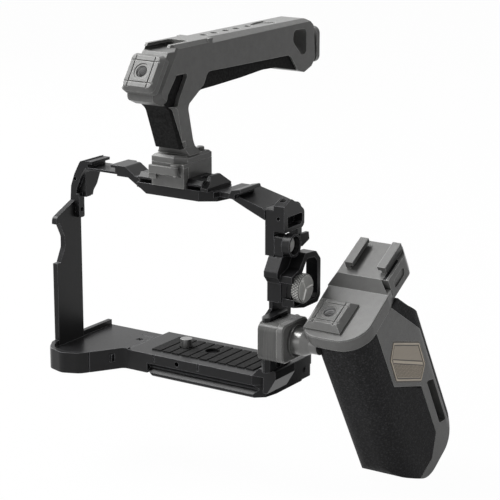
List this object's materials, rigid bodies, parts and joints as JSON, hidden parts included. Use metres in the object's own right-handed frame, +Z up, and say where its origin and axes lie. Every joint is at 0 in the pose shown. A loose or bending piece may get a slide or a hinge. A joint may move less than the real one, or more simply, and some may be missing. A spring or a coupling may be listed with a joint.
{
  "type": "camera cage",
  "caption": "Camera cage with dovetail base, cable clamp, quick-release top handle and rotating side handle.",
  "frame": {"origin": "mouth of the tripod socket in the sole of the base plate", "axes": "+Z up, lens towards -Y, +X towards the side handle"},
  "size_m": [0.1888, 0.1621, 0.2371],
  "materials": {
    "black_anodised": "satin black anodised",
    "grey_anodised": "satin grey anodised",
    "rubber_black": "matte black rubber",
    "leather_black": "fine black leather grain",
    "champagne": "champagne anodised",
    "steel": "stainless steel",
    "black_steel": "black oxide steel",
    "bright": "bright turned steel"
  },
  "bodies": {
    "cage": {"base_plate": "black_anodised", "base_pad": "rubber_black", "base_key": "black_steel", "left_side_frame": "black_anodised", "top_frame": "black_anodised", "top_rail": "black_anodised", "rail_screws": "black_steel", "right_side_frame": "black_anodised", "side_rail": "black_anodised", "frame_screws": "black_steel", "cable_body": "black_anodised", "cable_fixings": "black_steel", "lug_screw": "steel"},
    "captive_screw": {"camera_screw": "steel"},
    "cable_jaw_slide": {"cable_jaw": "black_anodised"},
    "cable_thumbscrew": {"thumbscrew": "bright"},
    "cable_lock": {"lock_lever": "black_anodised"},
    "top_handle": {"top_clamp_body": "grey_anodised", "lever_pin": "steel", "handle_screws": "black_steel", "release_spring": "steel", "handle_frame": "grey_anodised", "leg_grip": "rubber_black", "bar_grip": "rubber_black", "front_boss": "grey_anodised", "boss_thread": "steel"},
    "top_jaw": {"top_clamp_jaw": "grey_anodised"},
    "top_lever": {"clamp_lever": "black_steel"},
    "top_release": {"release_button": "grey_anodised"},
    "side_clamp": {"side_clamp_body": "grey_anodised", "side_clamp_jaw": "grey_anodised", "jaw_screws": "black_steel", "side_clamp_plate": "grey_anodised"},
    "side_handle": {"side_neck": "grey_anodised", "side_head": "grey_anodised", "side_boss_thread": "steel", "lock_spring": "steel", "side_key": "black_steel", "spine_frame": "grey_anodised", "front_panel": "leather_black", "rear_panel": "leather_black", "badge": "champagne"},
    "side_lock": {"lock_button": "grey_anodised"}
  },
  "joints": [
    {"name": "camera_screw_turn", "type": "hinge", "parent": "cage", "child": "captive_screw", "pos_m": [-0.016, -0.002, 0.003], "axis": [0, 0, 1], "continuous": true},
    {"name": "cable_jaw_travel", "type": "slide", "parent": "cage", "child": "cable_jaw_slide", "axis": [1, 0, 0], "range_m": [0, 0.00201]},
    {"name": "thumbscrew_turn", "type": "hinge", "parent": "cable_jaw_slide", "child": "cable_thumbscrew", "pos_m": [0.06, -0.01, 0.0604], "axis": [1, 0, 0], "range_deg": [0, 1028]},
    {"name": "cable_lock_turn", "type": "hinge", "parent": "cage", "child": "cable_lock", "pos_m": [0.058, -0.0146, 0.0836], "axis": [1, 0, 0], "range_deg": [0, 90]},
    {"name": "top_handle_slide", "type": "slide", "parent": "cage", "child": "top_handle", "axis": [1, 0, 0], "range_m": [-0.008, 0.008]},
    {"name": "top_jaw_travel", "type": "slide", "parent": "top_handle", "child": "top_jaw", "axis": [0, -1, 0], "range_m": [0, 0.000592]},
    {"name": "clamp_lever_turn", "type": "hinge", "parent": "top_handle", "child": "top_lever", "pos_m": [-0.0059, -0.0254, 0.116], "axis": [0, 0, 1], "range_deg": [0, 100]},
    {"name": "release_press", "type": "slide", "parent": "top_handle", "child": "top_release", "axis": [0, 0, -1], "range_m": [0, 0.002], "stiffness_N_per_m": 400, "springref_m": -0.001, "deforming": ["release_spring"]},
    {"name": "side_handle_slide", "type": "slide", "parent": "cage", "child": "side_clamp", "axis": [0, 0, 1], "range_m": [-0.004, 0.004]},
    {"name": "side_handle_turn", "type": "hinge", "parent": "side_clamp", "child": "side_handle", "pos_m": [0.066, -0.0165, 0.0342], "axis": [1, 0, 0], "range_deg": [-90, 60]},
    {"name": "lock_press", "type": "slide", "parent": "side_handle", "child": "side_lock", "axis": [-1, 0, 0], "range_m": [0, 0.0015], "stiffness_N_per_m": 400, "springref_m": -0.001, "deforming": ["lock_spring"]}
  ],
  "couplings": [
    {"joint": "cable_jaw_travel", "follows": "thumbscrew_turn", "m_per_rad": 0.00011141},
    {"joint": "top_jaw_travel", "follows": "clamp_lever_turn", "m_per_rad": 0.00033804}
  ]
}
